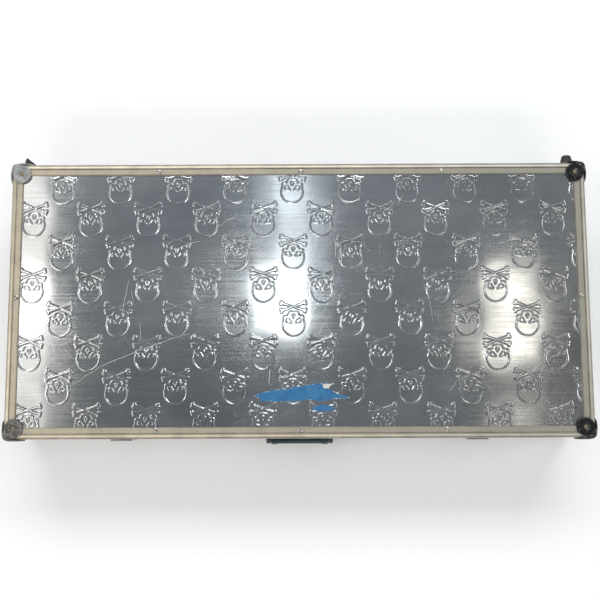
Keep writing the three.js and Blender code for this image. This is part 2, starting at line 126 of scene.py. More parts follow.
# ---------------------------------------------------------------- shader helpers
class Graph:
    """Builds a material's nodes. An input is given by name or number, as a value or a socket."""

    def __init__(self, name):
        self.material = bpy.data.materials.new(name)
        self.material.use_nodes = True
        self.tree = self.material.node_tree
        self.tree.nodes.clear()
        self.shader = self.add("BsdfPrincipled")
        out = self.add("OutputMaterial")
        self.tree.links.new(self.shader.outputs[0], out.inputs["Surface"])

    def add(self, kind, inputs=None, **settings):
        node = self.tree.nodes.new(f"ShaderNode{kind}")
        for key, value in settings.items():
            setattr(node, key, value)
        for key, value in (inputs or {}).items():
            self.put(node.inputs[key], value)
        return node

    def put(self, socket, value):
        if isinstance(value, bpy.types.NodeSocket):
            self.tree.links.new(value, socket)
        elif isinstance(value, tuple) and len(value) == 3 and socket.type == "RGBA":
            socket.default_value = (*value, 1)
        else:
            socket.default_value = value

    def set(self, **inputs):
        for key, value in inputs.items():
            self.put(self.shader.inputs[key.replace("_", " ")], value)

    def place(self, stretch=(1, 1, 1), turn=0.0, shift=(0, 0, 0)):
        """Object coordinates, turned about Z and then stretched: a large number packs tightly."""
        where = self.add("TexCoord").outputs["Object"]
        turned = self.add("VectorRotate", {"Vector": where, "Angle": math.radians(turn)})
        moved = self.add("VectorMath", {0: turned.outputs[0], 1: shift}, operation="ADD")
        return self.add(
            "VectorMath", {0: moved.outputs[0], 1: stretch}, operation="MULTIPLY"
        ).outputs[0]

    def noise(self, scale, detail=2.0, rough=0.5, **place):
        inputs = {"Vector": self.place(**place), "Scale": scale, "Detail": detail}
        return self.add("TexNoise", {**inputs, "Roughness": rough}).outputs["Fac"]

    def ramp(self, value, low, high, to_low=0.0, to_high=1.0):
        inputs = {"Value": value, "From Min": low, "From Max": high}
        inputs |= {"To Min": to_low, "To Max": to_high}
        return self.add("MapRange", inputs, clamp=True).outputs["Result"]

    def math(self, operation, a, b=0.0):
        return self.add("Math", {0: a, 1: b}, operation=operation).outputs[0]

    def mix(self, factor, a, b):
        node = self.add("Mix", data_type="RGBA")
        for socket, value in zip((node.inputs[0], node.inputs[6], node.inputs[7]), (factor, a, b)):
            self.put(socket, value)
        return node.outputs[2]

    def bump(self, height, strength, distance, under=None):
        inputs = {"Height": height, "Strength": strength, "Distance": distance}
        if under is not None:
            inputs["Normal"] = under
        return self.add("Bump", inputs).outputs["Normal"]


def scratches(g, across, along, turn, cut, cover):
    """Thin straight marks in one direction, gathered in patches."""
    line = g.noise(1.0, 1.0, 0.5, stretch=(across, along, across), turn=turn)
    patch = g.noise(cover, 2.0, 0.6, turn=turn, shift=(turn, 0.3, 0))
    sharp = g.ramp(line, cut, cut + 0.035)
    return g.math("MULTIPLY", sharp, g.ramp(patch, 0.48, 0.6))


# ---------------------------------------------------------------- materials
def sheet_metal():
    """Bright rolled aluminium: a faint grain along the case, smears and a few fine scratches."""
    g = Graph("sheet_metal")
    grain = g.noise(1.0, 3.0, 0.6, stretch=(9, 420, 1))
    smears = g.noise(11, 5.0, 0.62, shift=(4, 2, 0))
    marks = scratches(g, 900, 22, 28, 0.7, 16)
    for turn, cut in ((-41, 0.71), (73, 0.72), (4, 0.7)):
        marks = g.math("MAXIMUM", marks, scratches(g, 1000, 24, turn, cut, 13))
    marks = g.math("MULTIPLY", marks, 0.4)
    rough = g.math("ADD", g.ramp(smears, 0.4, 0.72, 0.09, 0.14), g.ramp(grain, 0.35, 0.65, 0, 0.05))
    rough = g.math("ADD", rough, g.math("MULTIPLY", marks, 0.2))
    tone = g.mix(g.ramp(smears, 0.35, 0.7), (0.72, 0.735, 0.75), (0.64, 0.645, 0.65))
    tone = g.mix(marks, tone, (0.9, 0.91, 0.92))
    haze = g.noise(6, 6.0, 0.68, shift=(9, 4, 0))
    g.set(Base_Color=tone, Metallic=g.ramp(haze, 0.35, 0.7, 0.96, 0.87), Roughness=rough)
    g.set(Normal=g.bump(marks, 0.05, 0.00005))
    return g.material


def rail_metal(name, along):
    """Anodised rail, drawn along one axis, with grime and knocks; painted light makes it lighter
    and warmer towards the case's left, and painted shade lies in the step's corner and along both
    edges.
    """
    g = Graph(name)
    stretch = tuple(14 if axis == along else 1500 for axis in "xyz")
    drawn = g.noise(1.0, 3.0, 0.6, stretch=stretch)
    grime = g.noise(38, 4.0, 0.65, shift=(1, 5, 2))
    knocks = g.noise(420, 2.0, 0.5, shift=(3, 1, 0))
    where = g.add("SeparateXYZ", {0: g.place()})
    # painted light and shade: lighter and warmer towards the case's left end, darker towards the
    # right
    tone = g.mix(g.ramp(where.outputs["X"], -0.2, 0.25), (0.55, 0.475, 0.36), (0.35, 0.335, 0.29))
    colour = g.mix(g.ramp(drawn, 0.35, 0.65, 0.0, 0.4), tone, (0.34, 0.31, 0.25))
    colour = g.mix(g.ramp(grime, 0.45, 0.72, 0.0, 0.5), colour, (0.27, 0.24, 0.19))
    colour = g.mix(g.ramp(knocks, 0.7, 0.76, 0.0, 0.8), colour, (0.16, 0.15, 0.13))
    # painted shade with grime: darker in the corner of the step and along both edges, deepened
    # where the grime noise is high
    from_side = g.math("SUBTRACT", HALF_LENGTH, g.math("ABSOLUTE", where.outputs["X"]))
    y = g.math("SUBTRACT", where.outputs["Y"], CASE_MIDDLE.y)
    from_front = g.math("SUBTRACT", HALF_WIDTH, g.math("ABSOLUTE", y))
    inset = g.math("MINIMUM", from_side, from_front)
    step_shade_and_grime = 0.0
    for line, reach in ((6.6, 1.1), (13.6, 0.8), (1.2, 1.3)):
        away = g.math("ABSOLUTE", g.math("SUBTRACT", inset, line * MM))
        step_shade_and_grime = g.math("MAXIMUM", step_shade_and_grime, g.ramp(away, 0.25 * reach * MM, reach * MM, 1, 0))
    step_shade_and_grime = g.math("MULTIPLY", step_shade_and_grime, g.ramp(grime, 0.3, 0.6, 0.35, 0.8))
    # the painted shade and grime darken the rail's colour here
    colour = g.mix(step_shade_and_grime, colour, (0.13, 0.115, 0.09))
    g.set(Base_Color=colour, Metallic=0.35, Roughness=g.ramp(grime, 0.3, 0.75, 0.27, 0.4))
    g.set(Normal=g.bump(drawn, 0.2, 0.0001))
    return g.material


def wall_metal():
    """Satin sheet on the sides, with a fine pressed pebble grain."""
    g = Graph("wall_metal")
    pebble = g.add("TexVoronoi", {"Vector": g.place(), "Scale": 620}).outputs["Distance"]
    smears = g.noise(24, 4.0, 0.6)
    colour = g.mix(g.ramp(smears, 0.4, 0.7), (0.58, 0.6, 0.62), (0.47, 0.48, 0.49))
    g.set(Base_Color=colour, Metallic=1.0, Roughness=g.ramp(smears, 0.35, 0.7, 0.3, 0.44))
    g.set(Normal=g.bump(pebble, 0.3, 0.0004))
    return g.material


def moulded_plastic(name, tone, worn_tone, wear, rough, worn_rough, grain=0.12):
    """Moulded plastic, rubbed where wear (0 to 1) has reached, with grit in its pits."""
    g = Graph(name)
    rubbed = g.noise(190, 6.0, 0.75, shift=(2, 7, 1))
    fine = g.noise(900, 3.0, 0.6)
    pits = g.noise(520, 3.0, 0.6, shift=(6, 2, 3))
    marks = scratches(g, 1600, 70, 35, 0.62, 60)
    marks = g.math("MAXIMUM", marks, scratches(g, 1600, 70, -50, 0.63, 60))
    edge = 0.78 - 0.5 * wear
    mask = g.ramp(rubbed, edge - 0.06, edge + 0.08)
    mask = g.math("MAXIMUM", mask, g.math("MULTIPLY", marks, 0.6 + 0.4 * wear))
    colour = g.mix(mask, tone, worn_tone)
    grit = g.ramp(pits, 0.66 - 0.12 * wear, 0.72 - 0.12 * wear, 0, 0.75)
    colour = g.mix(grit, colour, (0.055, 0.045, 0.035))
    g.set(Base_Color=colour)
    gloss = g.math("ADD", g.ramp(mask, 0, 1, rough, worn_rough), g.ramp(fine, 0.3, 0.7, 0, 0.06))
    g.set(Roughness=g.math("ADD", gloss, g.math("MULTIPLY", grit, 0.2)))
    g.set(Normal=g.bump(g.math("SUBTRACT", rubbed, grit), grain, 0.0005))
    return g.material


def rubber():
    g = Graph("foot_rubber")
    dust = g.noise(130, 5.0, 0.7)
    pores = g.noise(1500, 2.0, 0.5)
    g.set(Base_Color=g.mix(g.ramp(dust, 0.52, 0.75), (0.012, 0.012, 0.013), (0.07, 0.068, 0.063)))
    g.set(Roughness=g.ramp(dust, 0.3, 0.7, 0.5, 0.8), Normal=g.bump(pores, 0.35, 0.0003))
    return g.material


def plated_steel():
    g = Graph("plated_steel")
    pits = g.noise(700, 3.0, 0.6)
    haze = g.noise(60, 4.0, 0.6, shift=(3, 3, 3))
    g.set(Base_Color=g.mix(g.ramp(haze, 0.45, 0.75), (0.78, 0.79, 0.8), (0.6, 0.58, 0.54)))
    g.set(Metallic=1.0, Roughness=g.ramp(haze, 0.35, 0.75, 0.14, 0.3))
    g.set(Normal=g.bump(pits, 0.06, 0.0002))
    return g.material


def rivet_metal(name, tone, rough):
    g = Graph(name)
    tarnish = g.noise(420, 4.0, 0.65)
    colour = g.mix(g.ramp(tarnish, 0.42, 0.66), tone, tuple(0.45 * c for c in tone))
    g.set(Base_Color=colour, Metallic=1.0, Roughness=g.ramp(tarnish, 0.3, 0.7, rough, rough + 0.2))
    return g.material


def plywood():
    g = Graph("board_plywood")
    grain = g.noise(1.0, 5.0, 0.6, stretch=(8, 240, 240))
    layers = {"Vector": g.place(), "Scale": 420, "Distortion": 1.5}
    plies = g.add("TexWave", layers, bands_direction="Z")
    colour = g.mix(g.ramp(grain, 0.35, 0.65), (0.46, 0.34, 0.2), (0.31, 0.21, 0.12))
    colour = g.mix(g.math("MULTIPLY", plies.outputs["Fac"], 0.35), colour, (0.2, 0.13, 0.08))
    g.set(Base_Color=colour, Roughness=0.75, Normal=g.bump(grain, 0.3, 0.0003))
    return g.material


def foam_rubber():
    """Open-cell foam: a dark, matt sponge of fine pores."""
    g = Graph("lining_foam")
    cells = g.add("TexVoronoi", {"Vector": g.place(), "Scale": 1100}).outputs["Distance"]
    shade = g.noise(60, 4.0, 0.6)
    colour = g.mix(g.ramp(cells, 0.05, 0.6), (0.012, 0.013, 0.015), (0.05, 0.052, 0.056))
    colour = g.mix(g.ramp(shade, 0.4, 0.8, 0, 0.4), colour, (0.075, 0.078, 0.084))
    g.set(Base_Color=colour, Roughness=0.95, Normal=g.bump(cells, 0.9, 0.0006))
    g.set(Sheen_Weight=0.35, Sheen_Roughness=0.6)
    return g.material


def label_film():
    """What is left of a blue vinyl label, rubbed, with paler torn patches."""
    g = Graph("label_film")
    rub = g.noise(150, 5.0, 0.7)
    blotch = g.noise(42, 3.0, 0.6, shift=(2, 1, 0))
    marks = scratches(g, 1500, 60, -62, 0.6, 70)
    colour = g.mix(g.ramp(blotch, 0.35, 0.7), (0.022, 0.13, 0.29), (0.04, 0.18, 0.36))
    colour = g.mix(g.ramp(rub, 0.6, 0.74, 0, 0.7), colour, (0.17, 0.27, 0.36))
    scuffs = g.noise(1.0, 3.0, 0.6, stretch=(150, 420, 1), turn=-68)
    colour = g.mix(g.ramp(scuffs, 0.56, 0.66, 0, 0.6), colour, (0.02, 0.055, 0.1))
    colour = g.mix(g.math("MULTIPLY", marks, 0.5), colour, (0.02, 0.09, 0.2))
    g.set(Base_Color=colour, Roughness=g.ramp(rub, 0.3, 0.7, 0.34, 0.6), Metallic=0.15)
    g.set(Normal=g.bump(rub, 0.2, 0.0002))
    return g.material


def torn_paper():
    g = Graph("torn_paper")
    fibre = g.noise(900, 4.0, 0.7)
    g.set(Base_Color=g.mix(fibre, (0.42, 0.4, 0.35), (0.68, 0.66, 0.6)), Roughness=0.85)
    g.set(Normal=g.bump(fibre, 0.6, 0.0003))
    return g.material


def scratch_metal():
    g = Graph("scratched_bare")
    grit = g.noise(2500, 2.0, 0.5)
    g.set(Base_Color=g.mix(grit, (0.8, 0.82, 0.84), (0.95, 0.95, 0.95)), Metallic=1.0)
    g.set(Roughness=g.ramp(grit, 0.3, 0.7, 0.4, 0.6))
    return g.material


def floor_paint():
    g = Graph("floor_paint")
    mottle = g.noise(2.2, 2.0, 0.5)
    g.set(Base_Color=g.mix(mottle, (0.86, 0.86, 0.865), (0.885, 0.885, 0.89)), Roughness=0.75)
    return g.material


M = {
    "sheet": sheet_metal(),
    "rail_x": rail_metal("rail_along_x", "x"),
    "rail_y": rail_metal("rail_along_y", "y"),
    "wall": wall_metal(),
    "board": plywood(),
    "foam": foam_rubber(),
    "rubber": rubber(),
    "hardware": plated_steel(),
    "black": moulded_plastic(
        "protector_black", (0.009, 0.0095, 0.011), (0.1, 0.1, 0.105), 0.25, 0.16, 0.4
    ),
    "black_rubbed": moulded_plastic(
        "protector_rubbed", (0.022, 0.022, 0.022), (0.17, 0.16, 0.15), 0.6, 0.42, 0.6, 0.45
    ),
    "grey_worn": moulded_plastic(
        "protector_grey", (0.16, 0.165, 0.17), (0.34, 0.35, 0.345), 0.6, 0.32, 0.5, 0.45
    ),
    "grip": moulded_plastic(
        "handle_plastic", (0.006, 0.02, 0.032), (0.024, 0.05, 0.066), 0.3, 0.36, 0.55, 0.2
    ),
    "bracket": moulded_plastic(
        "bracket_plastic", (0.008, 0.018, 0.027), (0.04, 0.06, 0.075), 0.3, 0.38, 0.6, 0.2
    ),
    "rivet": rivet_metal("rivet_steel", (0.62, 0.62, 0.6), 0.18),
    "rivet_brassy": rivet_metal("rivet_brassy", (0.29, 0.245, 0.17), 0.32),
    "pin_dark": rivet_metal("pin_dark", (0.07, 0.075, 0.08), 0.3),
    "rivet_dark": rivet_metal("rivet_dark", (0.46, 0.44, 0.4), 0.16),
    "label": label_film(),
    "paper": torn_paper(),
    "scratch": scratch_metal(),
}


def paint(obj, material):
    obj.data.materials.clear()
    obj.data.materials.append(M[material])
    return obj


# ---------------------------------------------------------------- the pressed pattern
# Outlines of a skull, cranium towards the handle, under two crossed bones. Distances are in
# millimetres from the middle of the cranium, with y towards the hinges.
CRANIUM = 13.3
PITCH = 70.0
ROW_SPACING = 40.5
FIRST_ROW = 130.6
ODD_SHIFT = -7.0
EVEN_SHIFT = 27.8
LINE_HEIGHT = 0.27
LINE_WIDTH = 0.52
FINE_WIDTH = 0.42
FINE_SHARE = 0.85  # of LINE_HEIGHT, round the eyes and the nose
BONE_EDGE = 1.0
BONE_TILT = 18.5  # degrees
BONES_CENTRE = 21.2
PUCKER = 0.075  # the sheet draws down this much round each figure
SHEET_EDGE = (13.9, 14.5)  # the lines fade out between these, in from the side planes
SWELL_EDGE = (12, 60)


def length(x, y):
    return np.sqrt(x * x + y * y)


def disc(x, y, at, radius):
    return length(x - at[0], y - at[1]) - radius


def taper(x, y, start, end, start_radius, end_radius):
    """Distance to a rod whose radius changes evenly from start to end."""
    dx, dy = end[0] - start[0], end[1] - start[1]
    along = ((x - start[0]) * dx + (y - start[1]) * dy) / (dx * dx + dy * dy)
    along = np.clip(along, 0, 1)
    from_axis = length(x - start[0] - along * dx, y - start[1] - along * dy)
    return from_axis - start_radius - along * (end_radius - start_radius)


def soft_join(a, b, blend):
    share = np.clip(0.5 + 0.5 * (b - a) / blend, 0, 1)
    return b * (1 - share) + a * share - blend * share * (1 - share)


def bone(x, y, tilt):
    """A slim waisted bone with two knobs at each end."""
    turn = math.radians(tilt)
    u = x * math.cos(turn) + y * math.sin(turn)
    v = y * math.cos(turn) - x * math.sin(turn)
    u = np.abs(u)
    shaft = taper(u, v, (0, 0), (13.6, 0), 0.95, 1.55)
    knobs = np.minimum(disc(u, v, (15.2, 1.55), 1.75), disc(u, v, (15.2, -1.55), 1.75))
    return soft_join(shaft, knobs, 1.0)


def motif(x, y):
    """Height of the pressed lines and the raised bones, as a share of LINE_HEIGHT."""
    side = np.abs(x)
    head = disc(x, y, (0, 0), CRANIUM)
    cheek = disc(side, y, (9.7, 8.4), 2.7)
    jaw = taper(side, y, (0, 12.2), (3.0, 12.2), 4.0, 3.6)
    neck = taper(side, y, (0, 8), (5.2, 8), 2.6, 2.6)
    head = soft_join(soft_join(head, cheek, 0.9), soft_join(jaw, neck, 1.5), 0.9)
    eye = taper(side, y, (6.5, 5.0), (3.0, 2.6), 2.6, 0.8)
    nose = taper(x, y, (0, 11.0), (0, 7.9), 1.75, 0.4)
    ridge = np.exp(-((head / LINE_WIDTH) ** 2))
    for inner in (eye, nose):
        ridge = np.maximum(ridge, FINE_SHARE * np.exp(-((inner / FINE_WIDTH) ** 2)))
    upper = bone(x, y - BONES_CENTRE, BONE_TILT)
    lower = bone(x, y - BONES_CENTRE, -BONE_TILT)
    # the lower bone dips where the upper one crosses it
    crossing = np.clip(1 - np.abs(upper) / 1.1, 0, 1)
    bones = np.maximum(raised(upper), raised(lower) * (1 - 0.8 * crossing))
    return np.maximum(ridge, bones)


def raised(distance):
    share = np.clip(0.5 - distance / BONE_EDGE, 0, 1)
    return share * share * (3 - 2 * share)


def motif_places():
    rng = np.random.default_rng(7)
    places = []
    for row in range(8):
        shift = ODD_SHIFT if row % 2 == 0 else EVEN_SHIFT
        for column in range(-5, 6):
            x = column * PITCH + shift + rng.normal(0, 0.5)
            y = FIRST_ROW - row * ROW_SPACING + rng.normal(0, 0.35)
            places.append((x, y, rng.normal(0, 0.9), rng.uniform(0.8, 1.1)))
    return places


# Slow swells of the thin sheet: wavelength, direction and phase in degrees, and height.
SWELLS = (
    (310, 12, 40, 0.3),
    (190, 78, 200, 0.14),
    (150, -35, 95, 0.08),
    (104, 55, 310, 0.04),
    (83, -70, 20, 0.024),
    (61, 8, 160, 0.012),
)


def swell(x, y):
    total = np.zeros_like(x)
    for wave, direction, phase, height in SWELLS:
        a = math.radians(direction)
        total += height * np.sin(
            2 * math.pi * (x * math.cos(a) + y * math.sin(a)) / wave + math.radians(phase)
        )
    return total


def edge_fade(x, y, start, end):
    """0 at start millimetres from the case's side planes, and 1 from end inwards."""
    fade = 1.0
    for inwards in (HALF_LENGTH / MM - np.abs(x), HALF_WIDTH / MM - np.abs(y)):
        share = np.clip((inwards - start) / (end - start), 0, 1)
        fade = fade * share * share * (3 - 2 * share)
    return fade


def relief(xs, ys):
    """Height of the pressed sheet over its flat plane on a grid, in millimetres."""
    x, y = np.meshgrid(xs, ys, indexing="ij")
    lines = np.zeros_like(x)
    pucker = np.zeros_like(x)
    for px, py, turn, strength in motif_places():
        i0, i1 = np.searchsorted(xs, (px - 30, px + 30))
        j0, j1 = np.searchsorted(ys, (py - 26, py + 42))
        if i1 <= i0 or j1 <= j0:
            continue
        here = (slice(i0, i1), slice(j0, j1))
        a = math.radians(turn)
        dx, dy = x[here] - px, y[here] - py
        share = motif(dx * math.cos(a) + dy * math.sin(a), dy * math.cos(a) - dx * math.sin(a))
        lines[here] = np.maximum(lines[here], strength * LINE_HEIGHT * share)
        around = length(dx / 17, (dy - 8) / 22)
        pucker[here] -= PUCKER * strength * np.exp(-(around**4))
    pressed = (lines + pucker) * edge_fade(x, y, *SHEET_EDGE)
    return pressed + swell(x, y) * edge_fade(x, y, *SWELL_EDGE)


def relief_at(x, y):
    """The sheet's height at one place."""
    return float(relief(np.array([x]), np.array([y]))[0, 0])


def slab(name, low, high, spacing, height_of, upwards=True):
    """A closed sheet between two corners, with height_of (in millimetres) over its outer face."""
    count_x = int((high.x - low.x) / spacing) + 1
    count_y = int((high.y - low.y) / spacing) + 1
    xs = np.linspace(low.x, high.x, count_x)
    ys = np.linspace(low.y, high.y, count_y)
    outer = high.z if upwards else low.z
    inner = low.z if upwards else high.z
    sign = 1 if upwards else -1
    heights = height_of((xs - CASE_MIDDLE.x) / MM, (ys - CASE_MIDDLE.y) / MM)
    gx, gy = np.meshgrid(xs, ys, indexing="ij")
    top = np.stack([gx, gy, outer + sign * heights * MM], -1).reshape(-1, 3)
    index = np.arange(count_x * count_y).reshape(count_x, count_y)
    quads = np.stack([index[:-1, :-1], index[1:, :-1], index[1:, 1:], index[:-1, 1:]], -1)
    quads = quads.reshape(-1, 4)
    ring = np.concatenate([index[:-1, 0], index[-1, :-1], index[:0:-1, -1], index[0, :0:-1]])
    below = top[ring].copy()
    below[:, 2] = inner
    first = len(top)
    lower = first + np.arange(len(ring))
    walls = np.stack([ring, lower, np.roll(lower, -1), np.roll(ring, -1)], -1)
    bottom = lower[::-1]
    if not upwards:
        quads, walls, bottom = quads[:, ::-1], walls[:, ::-1], bottom[::-1]
    mesh = bpy.data.meshes.new(name)
    vertices = np.concatenate([top, below])
    mesh.vertices.add(len(vertices))
    mesh.vertices.foreach_set("co", vertices.astype(np.float32).ravel())
    corners = np.concatenate([quads.ravel(), walls.ravel(), bottom])
    mesh.loops.add(len(corners))
    mesh.loops.foreach_set("vertex_index", corners.astype(np.int32))
    count = len(quads) + len(walls)
    mesh.polygons.add(count + 1)
    mesh.polygons.foreach_set("loop_start", np.arange(count + 1, dtype=np.int32) * 4)
    smooth = np.zeros(count + 1, bool)
    smooth[: len(quads)] = True
    mesh.polygons.foreach_set("use_smooth", smooth)
    mesh.update(calc_edges=True)
    mesh.validate()
    return link(bpy.data.objects.new(name, mesh))


GRID = 0.6

lid_skin = slab("lid_sheet_pressed", sheet_low, sheet_high, GRID * MM, relief)
paint(lid_skin, "sheet")
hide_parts("lid_sheet")
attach(lid_skin, "lid")

base_skin = slab("base_sheet_pressed", base_low, base_high, 1.4 * GRID * MM, relief, upwards=False)
paint(base_skin, "sheet")
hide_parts("base_sheet")
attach(base_skin, "base")

# ---------------------------------------------------------------- rails, walls and boards
for shell in ("lid", "base"):
    for side in ("front", "back", "left", "right"):
        rail = "rail_x" if side in ("front", "back") else "rail_y"
        paint(finer(f"{shell}_edge_{side}", 0.25), rail)
        paint(nodes[f"{shell}_wall_{side}"], "wall")
    paint(finer(f"{shell}_rim", 0.2), "rail_x")
    paint(nodes[f"{shell}_board"], "board")


# ---------------------------------------------------------------- corner protectors and feet
CORNER_LOOKS = {
    "back_left": "grey_worn",
    "back_right": "black",
    "front_left": "black_rubbed",
    "front_right": "black",
}
for shell in ("lid", "base"):
    for corner, look in CORNER_LOOKS.items():
        look = look if shell == "lid" else "black_rubbed"
        paint(finer(f"{shell}_corner_{corner}", 0.45, 3), look)
    for side in SIDES:
        paint(finer(f"{shell}_foot_{side}", 0.6, 3), "rubber")


# ---------------------------------------------------------------- rivets
def turned_form(profile, sides=28):
    """Vertices and faces of a profile of (radius, height) turned about Z, closed below."""
    vertices = []
    for radius, height in profile:
        for k in range(sides):
            a = 2 * math.pi * k / sides
            vertices.append((radius * math.cos(a), radius * math.sin(a), height))
    faces = []
    for ring in range(len(profile) - 1):
        for k in range(sides):
            a, b = ring * sides + k, ring * sides + (k + 1) % sides
            faces.append((a, b, b + sides, a + sides))
    faces.append(tuple(reversed(range(sides))))
    top = (len(profile) - 1) * sides
    faces.append(tuple(range(top, top + sides)))
    return vertices, faces


def rivet_profile(radius, height, hollow):
    """A domed head with a rounded edge. A hollow one shows its broken mandrel in the middle."""
    dome = [(radius, 0), (radius, 0.12 * height)]
    for step in range(1, 7):
        a = step / 7 * math.pi / 2
        dome.append((radius * math.cos(a) ** 0.8, height * (0.12 + 0.88 * math.sin(a))))
    if not hollow:
        return dome + [(0.12 * radius, height)]
    inner = [r for r in dome if r[0] > 0.42 * radius]
    hole = [(0.36 * radius, height * 0.97), (0.3 * radius, 0.35 * height), (0.05, 0.4 * height)]
    return inner + hole


def rivets(name, places, body, radius=3.25, height=1.3, hollow=True, look="rivet"):
    """One object of like rivets. A place is (point in metres, outward direction)."""
    profile = rivet_profile(radius, height, hollow)
    form, form_faces = turned_form([(r * MM, h * MM) for r, h in profile])
    vertices, faces = [], []
    for point, direction in places:
        turn = Vector(direction).to_track_quat("Z", "Y").to_matrix()
        start = len(vertices)
        vertices += [turn @ Vector(v) + Vector(point) for v in form]
        faces += [tuple(start + i for i in face) for face in form_faces]
    obj = paint(mesh_object(name, vertices, faces), look)
    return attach(obj, body)


X_LONG = (-0.17, 0.003, 0.1745)  # rivets along the long rails
FLANGE = 0.8 * MM  # the flange lies this far below the rails' outer planes
ROW_IN = 10.4 * MM  # the rows, in from the side planes
PLATE_IN = 4.4 * MM  # from a plate's edge to its rivets
SMALL_IN = 5 * MM


def shell_rivets(shell, sign):
    """Rivets through a shell's edge rails: a row on the flat flange and one on the side."""
    outer = lid_rail_top if shell == "lid" else base_rail_bottom
    up = Vector((0, 0, sign))
    flange = outer - sign * FLANGE
    side_height = outer - sign * ROW_IN
    flat, upright = [], []
    for x in X_LONG:
        for y_sign in (-1, 1):
            y = CASE_MIDDLE.y + y_sign * (HALF_WIDTH - ROW_IN)
            flat.append(((x, y, flange), up))
            face = CASE_MIDDLE.y + y_sign * (HALF_WIDTH - FLANGE)
            if abs(x) > 0.1 or shell == "lid":
                upright.append(((x * 0.97, face, side_height), (0, y_sign, 0)))
    for x_sign in (-1, 1):
        y = CASE_MIDDLE.y + 0.002
        flat.append(((x_sign * (HALF_LENGTH - ROW_IN), y, flange), up))
        face = x_sign * (HALF_LENGTH - FLANGE)
        upright.append(((face, y, side_height), (x_sign, 0, 0)))
    rivets(f"{shell}_rail_rivets", flat, shell, look="rivet_dark")
    rivets(f"{shell}_side_rivets", upright, shell, look="rivet_dark")


def corner_rivets(shell, sign):
    """A rivet in the dish in the middle of each of a corner protector's three lobes."""
    places = []
    outer = lid_rail_top if shell == "lid" else base_rail_bottom
    for x_sign in (-1, 1):
        for y_sign in (-1, 1):
            x = x_sign * (HALF_LENGTH - LOBE_INSET)
            y = CASE_MIDDLE.y + y_sign * (HALF_WIDTH - LOBE_INSET)
            z = outer - sign * LOBE_INSET
            places.append(((x, y, outer + sign * DISH_FLOOR), (0, 0, sign)))
            places.append(((x_sign * (HALF_LENGTH + DISH_FLOOR), y, z), (x_sign, 0, 0)))
            face = CASE_MIDDLE.y + y_sign * (HALF_WIDTH + DISH_FLOOR)
            places.append(((x, face, z), (0, y_sign, 0)))
    rivets(f"{shell}_corner_rivets", places, shell, 2.5, 0.85, look="rivet_brassy")


for shell, sign in (("lid", 1), ("base", -1)):
    shell_rivets(shell, sign)
    corner_rivets(shell, sign)


# ---------------------------------------------------------------- hardware
for side in SIDES:
    for leaf in ("lid_leaf", "base_leaf"):
        paint(finer(f"hinge_{side}_{leaf}", 0.25), "hardware")
    paint(finer(f"hinge_{side}_pin", 0.3), "hardware")
    for piece in ("keeper", "pin", "lever", "lock", "claw"):
        paint(finer(f"latch_{side}_{piece}", 0.2), "hardware")
    # a strip of its flange is 0.2 mm wide, so its rounding is finer than half of that
    paint(finer(f"latch_{side}_dish", 0.05), "hardware")
    paint(finer(f"handle_bracket_{side}", 0.6, 3), "bracket")
    paint(finer(f"handle_pin_{side}", 0.3), "pin_dark")
paint(finer("handle_grip", 1.1, 4), "grip")


def hardware_rivets():
    for side in SIDES:
        for leaf, body in (("lid_leaf", "lid"), ("base_leaf", "base")):
            low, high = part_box(f"hinge_{side}_{leaf}")
            seat = CASE_MIDDLE.y + HALF_WIDTH + 1.65 * MM
            level = high.z - PLATE_IN if body == "lid" else low.z + PLATE_IN
            middle = (low.x + high.x) / 2
            places = [((middle + dx * MM, seat, level), (0, 1, 0)) for dx in (-22, 0, 22)]
            rivets(f"hinge_{side}_{body}_rivets", places, body, 2.2, 0.9)
        low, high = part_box(f"latch_{side}_keeper")
        middle = (low.x + high.x) / 2
        front = low.y + 1.35 * MM
        place = ((middle, front, high.z - PLATE_IN), (0, -1, 0))
        rivets(f"latch_{side}_keeper_rivet", [place], "lid", 2.2, 0.8)
        low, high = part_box(f"latch_{side}_dish")
        places = []
        for x in (low.x + 1.75 * MM, high.x - 1.75 * MM):
            for z in (low.z + SMALL_IN, high.z - SMALL_IN):
                places.append(((x, low.y + 0.05 * MM, z), (0, -1, 0)))
        rivets(f"latch_{side}_dish_rivets", places, "base", 1.3, 0.6, hollow=False)
        low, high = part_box(f"handle_bracket_{side}")
        sign = 1 if side == "right" else -1
        x = (high.x if sign > 0 else low.x) - sign * PLATE_IN
        face = CASE_MIDDLE.y - HALF_WIDTH + 0.05 * MM
        levels = (high.z - SMALL_IN, low.z + SMALL_IN)
        places = [((x, face, z), (0, -1, 0)) for z in levels]
        rivets(f"handle_bracket_{side}_rivets", places, "base", 2.1, 0.8)


hardware_rivets()


# ---------------------------------------------------------------- linings
CREST_SPACING = 19.0
CREST_HEIGHT = 4.4
SCORE_SPACING = 20
SCORE_DEPTH = 0.5
FOAM_SLACK = 0.3  # the foam stops this far below its slab's face


def from_edge(x, y):
    """Distance inwards from the nearest edge of a grid."""
    inwards = np.minimum(x - x.min(), x.max() - x)
    return np.minimum(inwards, np.minimum(y - y.min(), y.max() - y))


def egg_crate(xs, ys):
    """Peaks and hollows of convoluted foam, below the CAD slab's face, in millimetres."""
    x, y = np.meshgrid(xs, ys, indexing="ij")
    waves = np.cos(math.pi * x / CREST_SPACING) * np.cos(math.pi * y / CREST_SPACING)
    share = np.clip(from_edge(x, y) / 14, 0, 1)
    return -(1 - waves) * CREST_HEIGHT * share - FOAM_SLACK


def scored_pad(xs, ys):
    """A flat pad, slightly crowned, scored in squares so that pieces can be plucked out."""
    x, y = np.meshgrid(xs, ys, indexing="ij")
    half = SCORE_SPACING // 2
    from_score = [np.abs((c + half) % SCORE_SPACING - half) for c in (x, y)]
    score = np.minimum(*from_score)
    rounding = np.clip(from_edge(x, y) / 5, 0, 1)
    crown = -2.2 * (1 - np.sqrt(1 - (1 - rounding) ** 2))
    waviness = 0.25 * np.sin(x / 37) * np.sin(y / 29)
    return crown - SCORE_DEPTH * np.exp(-((score / 0.9) ** 2)) + waviness - FOAM_SLACK


